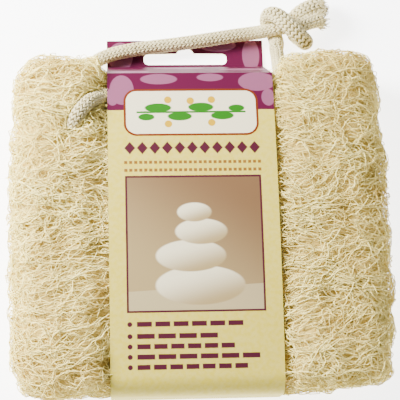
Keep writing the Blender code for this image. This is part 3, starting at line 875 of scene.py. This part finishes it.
FIBRE_LAYERS = {
    "deep": {"Density": 75000.0, "Length": 26 * MM, "Points": 14, "Fan": 0.6, "Low": 0.1 * MM,
             "High": 1.2 * MM, "Seed": 5},
    "long": {"Density": 78000.0, "Length": 28 * MM, "Points": 18, "Fan": 0.4, "Low": 0.9 * MM,
             "High": 2.3 * MM, "Thickness": 0.14 * MM, "Seed": 21},
    "curled": {"Density": 150000.0, "Length": 13 * MM, "Points": 9, "Fan": 1.5, "Swirl": 5 * MM,
               "Swirl scale": 150.0, "Low": 0.9 * MM, "High": 2.3 * MM, "Curl": 1.6 * MM,
               "Thickness": 0.14 * MM, "Seed": 43},
    "short": {"Density": 150000.0, "Length": 6.5 * MM, "Points": 5, "Fan": 1.6, "Swirl": 2.5 * MM,
              "Swirl scale": 300.0, "Low": 0.4 * MM, "High": 2.3 * MM, "Arch": 0.6 * MM,
              "Thickness": 0.13 * MM, "Seed": 67},
    "loops": {"Density": 130000.0, "Length": 5 * MM, "Points": 7, "Fan": 1.6, "Swirl": 2.0 * MM,
              "Swirl scale": 350.0, "Low": 1.2 * MM, "High": 2.4 * MM, "Arch": 0.9 * MM,
              "Thickness": 0.14 * MM, "Edge only": 0.5, "Seed": 89},
}


def build_pad():
    (front, _), (back, _) = strands()
    mesh = skin_mesh(front[::2] + back[::2])
    cord_line = add_object("cord_line", line_mesh("cord_line", front, back))
    tree = fibre_tree(fibre_finish(), cord_line)
    for name, settings in FIBRE_LAYERS.items():
        for side, sign in (("left", -1), ("right", 1)):
            values = {**settings, "Side": float(sign), "Seed": settings["Seed"] + sign}
            belongs(tree.grow(f"fibres_{name}_{side}", mesh.copy(), values), "loofah_fibre")
    bpy.data.objects.remove(cord_line)
    core = belongs(add_object("pad_pith", mesh, pith_finish()), "loofah_fibre", "loofah_pad")


# Card sleeve


def band_profile(inset):
    """The closed band seen from the side, as (y, z), moved inwards from its outer face."""
    lean = math.hypot(1.0, (JOINT_Y - TOP_FOLD_Y) / (front_z(TOP_FOLD_Y) - CARD))
    start = BOTTOM_Y + BOTTOM_ROUND
    radius = BOTTOM_ROUND - inset
    points = [(flap_y(inset) - inset * lean, inset)]
    for centre_z, first in ((BOTTOM_ROUND, -0.5), (front_z(start) - BOTTOM_ROUND, -1.0)):
        for i in range(FOLD_STEPS + 1):
            turn = math.pi * (first - 0.5 * i / FOLD_STEPS)
            points.append((start + radius * math.cos(turn), centre_z + radius * math.sin(turn)))
    fold_y = TOP_FOLD_Y - inset * (lean - (JOINT_Y - TOP_FOLD_Y) / front_z(TOP_FOLD_Y))
    for i in range(1, PANEL_STEPS + 1):
        y = start + (fold_y - start) * i / PANEL_STEPS
        points.append((y, front_z(y) - inset))
    return points


def outline_mesh(name, loops, half_depth):
    """A flat outline, with holes if it has more than one loop, extruded both ways."""
    curve = bpy.data.curves.new(name, "CURVE")
    curve.dimensions = "2D"
    curve.fill_mode = "BOTH"
    curve.extrude = half_depth
    for loop in loops:
        spline = curve.splines.new("POLY")
        spline.points.add(len(loop) - 1)
        for corner, (a, b) in zip(spline.points, loop):
            corner.co = (a, b, 0.0, 1.0)
        spline.use_cyclic_u = True
    source = bpy.data.objects.new(name, curve)
    mesh = bpy.data.meshes.new_from_object(source)
    bpy.data.objects.remove(source)
    made = bmesh.new()
    made.from_mesh(mesh)
    bmesh.ops.remove_doubles(made, verts=made.verts, dist=1e-6)
    bmesh.ops.recalc_face_normals(made, faces=made.faces)
    made.to_mesh(mesh)
    made.free()
    return mesh


def slot_loop():
    """Hang slot with round ends and a low hump over its middle."""
    loop = []
    corners = ((-1, SLOT_LOW_Y, 1, math.pi), (1, SLOT_LOW_Y, 1, 1.5 * math.pi),
               (1, SLOT_HIGH_Y, -1, 0.0), (-1, SLOT_HIGH_Y, -1, 0.5 * math.pi))
    for index, (side, y, inward, start) in enumerate(corners):
        for i in range(SLOT_CORNER_STEPS + 1):
            turn = start + math.pi / 2 * i / SLOT_CORNER_STEPS
            loop.append((side * (SLOT_HALF_WIDTH - SLOT_ROUND) + SLOT_ROUND * math.cos(turn),
                         y + inward * SLOT_ROUND + SLOT_ROUND * math.sin(turn)))
        # The hump comes between the two upper corners
        if index == 2:
            for i in range(HUMP_STEPS + 1):
                turn = HUMP_START + HUMP_SWEEP * i / HUMP_STEPS
                loop.append((SLOT_HUMP * math.cos(turn),
                             SLOT_HIGH_Y + SLOT_HUMP * math.sin(turn) - HUMP_SUNK))
    return loop


def strip_length(outer):
    """Distance along the card's outer face at each of its profile's points, from the tab's end."""
    lengths = [0.0]
    for (y0, z0), (y1, z1) in zip(outer, outer[1:]):
        lengths.append(lengths[-1] + math.hypot(y1 - y0, z1 - z0))
    return lengths


def along_card(outer, lengths, y, z):
    """How far a point is from the card's outer face, and how far along it."""
    best = None
    for i, ((y0, z0), (y1, z1)) in enumerate(zip(outer, outer[1:])):
        dy, dz = y1 - y0, z1 - z0
        size = dy * dy + dz * dz
        t = min(1.0, max(0.0, ((y - y0) * dy + (z - z0) * dz) / size))
        far = math.hypot(y - y0 - t * dy, z - z0 - t * dz)
        if best is None or far < best[0]:
            best = (far, lengths[i] + t * math.sqrt(size))
    return best


def build_sleeve():
    profile = band_profile(0.0)
    outer = [(TAB_TOP_Y, CARD), (TAB_TOP_Y, 0.0)] + profile[1:] + [(JOINT_Y, CARD)]
    mesh = outline_mesh("card_sleeve_print", [outer, band_profile(CARD)], SLEEVE_HALF_WIDTH)
    for vert in mesh.vertices:
        vert.co = Vector((vert.co.z, vert.co.x, vert.co.y))
    sleeve = add_object("card_sleeve_print", mesh)
    cutter = add_object("slot_cutter", outline_mesh("slot_cutter", [slot_loop()], 4 * CARD))
    cut = sleeve.modifiers.new("slot", "BOOLEAN")
    cut.object = cutter
    cut.operation = "DIFFERENCE"
    cut.solver = "EXACT"
    mesh = evaluated_mesh(sleeve)
    bpy.data.objects.remove(sleeve)
    bpy.data.objects.remove(cutter)
    print_line = [(TAB_TOP_Y, CARD), (JOINT_Y, CARD)] + profile[:0:-1] + [(TAB_TOP_Y, 0.0)]
    finish_card(mesh, print_line)
    piece = add_object("card_sleeve_print", mesh, print_finish(), board_finish())
    belongs(piece, "printed_card", "card_sleeve")


def finish_card(mesh, print_line):
    """Cuts the card across, lays the print's own coordinates on it, and finds its unprinted faces."""
    made = bmesh.new()
    made.from_mesh(mesh)
    for x in CROSS_CUTS:
        everything = made.verts[:] + made.edges[:] + made.faces[:]
        bmesh.ops.bisect_plane(made, geom=everything, plane_co=(x * MM, 0, 0), plane_no=(1, 0, 0))
    lengths = strip_length(print_line)
    uv = made.loops.layers.uv.new("print")
    for face in made.faces:
        middle = face.calc_center_median()
        far, _ = along_card(print_line, lengths, middle.y, middle.z)
        printed = far < 0.25 * CARD and abs(face.normal.x) < 0.5
        face.material_index = 0 if printed else 1
        for loop in face.loops:
            place = loop.vert.co
            _, length = along_card(print_line, lengths, place.y, place.z)
            loop[uv].uv = (place.x / MM / PRINT_UNIT, length / MM / PRINT_UNIT)
    made.to_mesh(mesh)
    made.free()
    mesh.shade_smooth()
    mesh.set_sharp_from_angle(angle=CREASE)


def rounded_box(u, v, centre, half, corner):
    """Distance from a rounded box in the print, in millimetres, negative inside it."""
    across = abs(u - centre[0]) - (half[0] - corner)
    along = abs(v - centre[1]) - (half[1] - corner)
    outside = (across.most(0.0) ** 2 + along.most(0.0) ** 2) ** 0.5
    return outside + across.most(along).least(0.0) - corner


def ellipse(u, v, centre, half):
    """Rough distance from an ellipse in the print, in millimetres, negative inside it."""
    a = (u - centre[0]) / half[0]
    b = (v - centre[1]) / half[1]
    return ((a * a + b * b) ** 0.5 - 1.0) * min(half)


def ellipses(u, v, shapes):
    """Rough distance from the nearest of several ellipses."""
    return functools.reduce(Value.least, (ellipse(u, v, centre, half) for centre, half in shapes))


def marks(u, v, left, level, pitch, count, half_height, corner=0.1):
    """A row of equal cells: how far u is from its own cell's middle, and the distance from the row."""
    half = pitch * count / 2
    own = (((u - left) / pitch).math("FRACT") - 0.5) * pitch
    return abs(own), rounded_box(u, v, (left + half, level), (half, half_height), corner)


def within(distance, soft=PRINT_SOFT):
    """1 inside a shape and 0 outside it, with a soft edge."""
    return distance.ramp(-soft, soft, 1.0, 0.0)


def print_finish():
    """The sleeve's print: a purple head with a plaque, lines of marks, a framed picture and dashes."""
    card = Finish("printed_card", 0.5, Specular_IOR_Level=0.15)
    u, v, _ = card.node("ShaderNodeUVMap", {"uv_map": "print"}).split()
    u = u * PRINT_UNIT
    # v starts at the tab's end; y is the height on the front panel, and goes on up over the flap and tab
    flap = math.hypot(JOINT_Y - TOP_FOLD_Y, front_z(TOP_FOLD_Y) - CARD)
    y = (TAB_TOP_Y - JOINT_Y + flap + TOP_FOLD_Y) / MM - v * PRINT_UNIT
    grain = card.noise(card.place, 700.0, 2.0)
    colour = card.blend(grain.ramp(0.3, 0.7) * 0.12, CREAM, PAPER_WHITE)
    colour = head_print(card, colour, u, y)
    colour = marks_print(card, colour, u, y)
    colour = picture_print(card, colour, u, y)
    card.drive(Base_Color=colour)
    card.bump(grain, 0.02 * MM, 0.25)
    return card.material


def head_print(card, colour, u, y):
    """Purple from the tab down to the plaque, with lilac pebbles on it, and the plaque with its sprig."""
    colour = card.blend(within(HEAD_LOW - y), colour, PURPLE)
    colour = card.blend(within(ellipses(u, y, PEBBLES)) * 0.95, colour, LILAC)
    plaque = rounded_box(u, y, *PLAQUE)
    colour = card.blend(within(plaque), colour, RUST)
    colour = card.blend(within(plaque + PLAQUE_RIM), colour, PAPER_WHITE)
    sprig = ellipses(u, y, LEAVES).least(rounded_box(u, y, *STEM))
    colour = card.blend(within(sprig), colour, LEAF)
    return card.blend(within(ellipses(u, y, BERRIES)), colour, YELLOW)


def marks_print(card, colour, u, y):
    """A row of lozenges, two rows of fine dots, and five rows of dashes behind round bullets."""
    left = -LOZENGE_PITCH * LOZENGE_COUNT / 2
    own, row = marks(u, y, left, LOZENGE_ROW_Y, LOZENGE_PITCH, LOZENGE_COUNT, LOZENGE_ROW_HALF)
    lozenge = own / LOZENGE_HALF[0] + abs(y - LOZENGE_ROW_Y) / LOZENGE_HALF[1] - 1.0
    colour = card.blend(within(lozenge.most(row)), colour, MAROON)
    for level in DOT_ROWS_Y:
        own, row = marks(u, y, -DOT_PITCH * DOT_COUNT / 2, level, DOT_PITCH, DOT_COUNT, DOT_HALF)
        colour = card.blend(within((own - DOT_HALF).most(row)) * 0.85, colour, RUST)
    for level, count, pitch in DASH_ROWS:
        bullet = ellipse(u, y, (BULLET_X, level), (DASH_HALF_HEIGHT, DASH_HALF_HEIGHT))
        own, row = marks(u, y, DASH_LEFT, level, pitch, count, DASH_HALF_HEIGHT, 0.2)
        dash = (own - (pitch / 2 - DASH_HALF_GAP)).most(row)
        colour = card.blend(within(bullet.least(dash)), colour, MAROON)
    return colour


def picture_print(card, colour, u, y):
    """A framed picture of pale smooth stones, one on another, on a soft beige ground."""
    edge = rounded_box(u, y, *PICTURE)
    colour = card.blend(within(edge), colour, MAROON)
    inside = within(edge + PICTURE_RIM)
    ground = card.blend((u * 0.6 + y).ramp(-34.0, 20.0), BEIGE, BEIGE_DEEP)
    table = within(y + 25.0 - u * 0.05)
    ground = card.blend(table * 0.5, ground, STONE)
    for centre, half in STONES:
        light = ((y - centre[1]) / half[1] + (u - centre[0]) / half[0] * -0.6).ramp(-1.1, 0.9)
        stone = card.blend(light, BEIGE, PAPER_WHITE)
        ground = card.blend(within(ellipse(u, y, centre, half), 0.25), ground, stone)
    return card.blend(inside, colour, ground)


def board_finish():
    """The card's unprinted inside and its cut edges."""
    board = Finish("plain_board", 0.75)
    fleck = board.noise(board.place, 1400.0, 2.0)
    board.drive(Base_Color=board.blend(fleck.ramp(0.35, 0.7) * 0.3, PAPER_WHITE, BEIGE))
    return board.material


# Studio


def build_camera():
    back = Vector((math.sin(CAMERA_YAW) * math.cos(CAMERA_TILT), -math.sin(CAMERA_TILT),
                   math.cos(CAMERA_YAW) * math.cos(CAMERA_TILT))).normalized()
    right = Vector((0, 1, 0)).cross(back).normalized()
    up = back.cross(right)
    turn = Matrix((right, up, back)).transposed().to_4x4() @ Matrix.Rotation(CAMERA_ROLL, 4, "Z")
    data = bpy.data.cameras.new("camera")
    data.sensor_width = SENSOR
    data.lens = SENSOR * FOCAL_PIXELS / PHOTO_PIXELS
    data.clip_end = 10.0
    camera = bpy.data.objects.new("camera", data)
    camera.matrix_world = Matrix.Translation(AIM + back * CAMERA_AWAY) @ turn
    bpy.context.scene.collection.objects.link(camera)
    bpy.context.scene.camera = camera


def build_studio():
    for name, place, size, watts in LAMPS:
        light = bpy.data.lights.new(name, "AREA")
        light.size = size
        light.energy = watts
        lamp = bpy.data.objects.new(name, light)
        lamp.location = place
        lamp.rotation_euler = (AIM - Vector(place)).to_track_quat("-Z", "Y").to_euler()
        bpy.context.scene.collection.objects.link(lamp)
    world = bpy.data.worlds.new("studio")
    world.use_nodes = True
    sky = world.node_tree.nodes["Background"].inputs
    sky["Color"].default_value = WHITE
    sky["Strength"].default_value = WORLD_STRENGTH
    bpy.context.scene.world = world
    mesh = bpy.data.meshes.new("floor")
    corners = [(x * FLOOR_HALF, y * FLOOR_HALF, FLOOR_Z) for x, y in ((-1, -1), (1, -1), (1, 1), (-1, 1))]
    mesh.from_pydata(corners, [], [(0, 1, 2, 3)])
    pale = Finish("pale_floor", 0.9, Base_Color=FLOOR_PALE, Emission_Color=WHITE,
                  Emission_Strength=FLOOR_GLOW)
    add_object("floor", mesh, pale.material)


build_camera()
build_studio()
build_cord()
build_pad()
build_sleeve()
